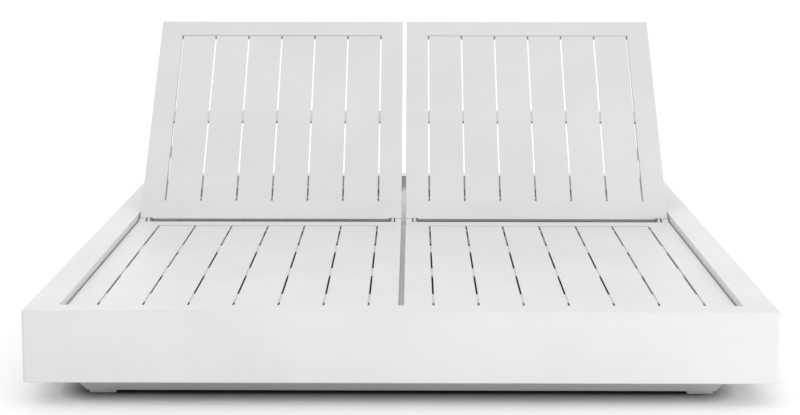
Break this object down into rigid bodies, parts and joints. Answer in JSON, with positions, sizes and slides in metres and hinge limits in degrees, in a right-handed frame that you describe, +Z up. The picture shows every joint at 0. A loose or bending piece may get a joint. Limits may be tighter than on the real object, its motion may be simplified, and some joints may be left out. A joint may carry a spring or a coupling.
{
  "type": "double chaise lounger",
  "caption": "Double chaise lounger: a low boxed platform with slatted decks side by side and separately reclining slatted backrests, each propped by a swinging stay on notched racks.",
  "frame": {"origin": "on the floor under the middle of the platform", "axes": "+Z up, +Y from the foot end to the head end, +X to the right seen from the foot end"},
  "size_m": [1.48, 2.06, 0.6466],
  "materials": {
    "apron_coat": "off-white powder coat, satin",
    "plinth_coat": "off-white powder coat, satin",
    "inner_frame_coat": "off-white powder coat, satin",
    "beam_coat": "off-white powder coat, satin",
    "seat_frame_coat": "off-white powder coat, satin",
    "seat_slat_coat": "off-white powder coat, satin",
    "crossbar_coat": "off-white powder coat, satin",
    "back_frame_coat": "off-white powder coat, satin",
    "back_slat_coat": "off-white powder coat, satin",
    "hinge_coat": "off-white powder coat, satin",
    "stay_coat": "off-white powder coat, satin",
    "rack_coat": "off-white powder coat, satin",
    "fastener_steel": "plain stainless",
    "foot_plastic": "light grey moulded plastic",
    "pad_rubber": "matt black"
  },
  "bodies": {
    "base": {"apron_front_rail": "apron_coat", "apron_rear_rail": "apron_coat", "apron_left_rail": "apron_coat", "apron_right_rail": "apron_coat", "corner_gussets": "inner_frame_coat", "plinth_front_panel": "plinth_coat", "plinth_rear_panel": "plinth_coat", "plinth_left_panel": "plinth_coat", "plinth_right_panel": "plinth_coat", "foot_pads": "foot_plastic", "ledge_front": "inner_frame_coat", "ledge_rear": "inner_frame_coat", "ledge_left": "inner_frame_coat", "ledge_right": "inner_frame_coat", "centre_beam": "beam_coat", "cross_members": "inner_frame_coat", "deck_pads": "pad_rubber", "seat_left_outer_stile": "seat_frame_coat", "seat_left_inner_stile": "seat_frame_coat", "seat_left_front_rail": "seat_frame_coat", "seat_left_hinge_rail": "seat_frame_coat", "seat_left_slats": "seat_slat_coat", "seat_left_crossbars": "crossbar_coat", "hinge_knuckles_left": "hinge_coat", "hinge_pins_left": "fastener_steel", "rack_left": "rack_coat", "seat_right_outer_stile": "seat_frame_coat", "seat_right_inner_stile": "seat_frame_coat", "seat_right_front_rail": "seat_frame_coat", "seat_right_hinge_rail": "seat_frame_coat", "seat_right_slats": "seat_slat_coat", "seat_right_crossbars": "crossbar_coat", "hinge_knuckles_right": "hinge_coat", "hinge_pins_right": "fastener_steel", "rack_right": "rack_coat"},
    "backrest_left": {"back_left_outer_stile": "back_frame_coat", "back_left_inner_stile": "back_frame_coat", "back_left_top_rail": "back_frame_coat", "back_left_hinge_rail": "back_frame_coat", "back_left_slats": "back_slat_coat", "back_left_crossbar": "crossbar_coat", "hinge_tabs_left": "hinge_coat", "stay_brackets_left": "hinge_coat", "stay_pins_left": "fastener_steel"},
    "stay_left": {"stay_arms_left": "stay_coat", "stay_foot_bar_left": "stay_coat"},
    "backrest_right": {"back_right_outer_stile": "back_frame_coat", "back_right_inner_stile": "back_frame_coat", "back_right_top_rail": "back_frame_coat", "back_right_hinge_rail": "back_frame_coat", "back_right_slats": "back_slat_coat", "back_right_crossbar": "crossbar_coat", "hinge_tabs_right": "hinge_coat", "stay_brackets_right": "hinge_coat", "stay_pins_right": "fastener_steel"},
    "stay_right": {"stay_arms_right": "stay_coat", "stay_foot_bar_right": "stay_coat"}
  },
  "joints": [
    {"name": "backrest_left_hinge", "type": "hinge", "parent": "base", "child": "backrest_left", "pos_m": [-0.339, 0.224, 0.1675], "axis": [1, 0, 0], "range_deg": [-40, 27]},
    {"name": "backrest_right_hinge", "type": "hinge", "parent": "base", "child": "backrest_right", "pos_m": [0.339, 0.224, 0.1675], "axis": [1, 0, 0], "range_deg": [-40, 27]},
    {"name": "stay_left_pivot", "type": "hinge", "parent": "backrest_left", "child": "stay_left", "pos_m": [-0.339, 0.49974, 0.37015], "axis": [1, 0, 0], "range_deg": [-53, 78]},
    {"name": "stay_right_pivot", "type": "hinge", "parent": "backrest_right", "child": "stay_right", "pos_m": [0.339, 0.49974, 0.37015], "axis": [1, 0, 0], "range_deg": [-53, 78]}
  ],
  "couplings": [
    {"joint": "stay_left_pivot", "follows": "backrest_left_hinge", "ratio": -1.94},
    {"joint": "stay_right_pivot", "follows": "backrest_right_hinge", "ratio": -1.94}
  ]
}
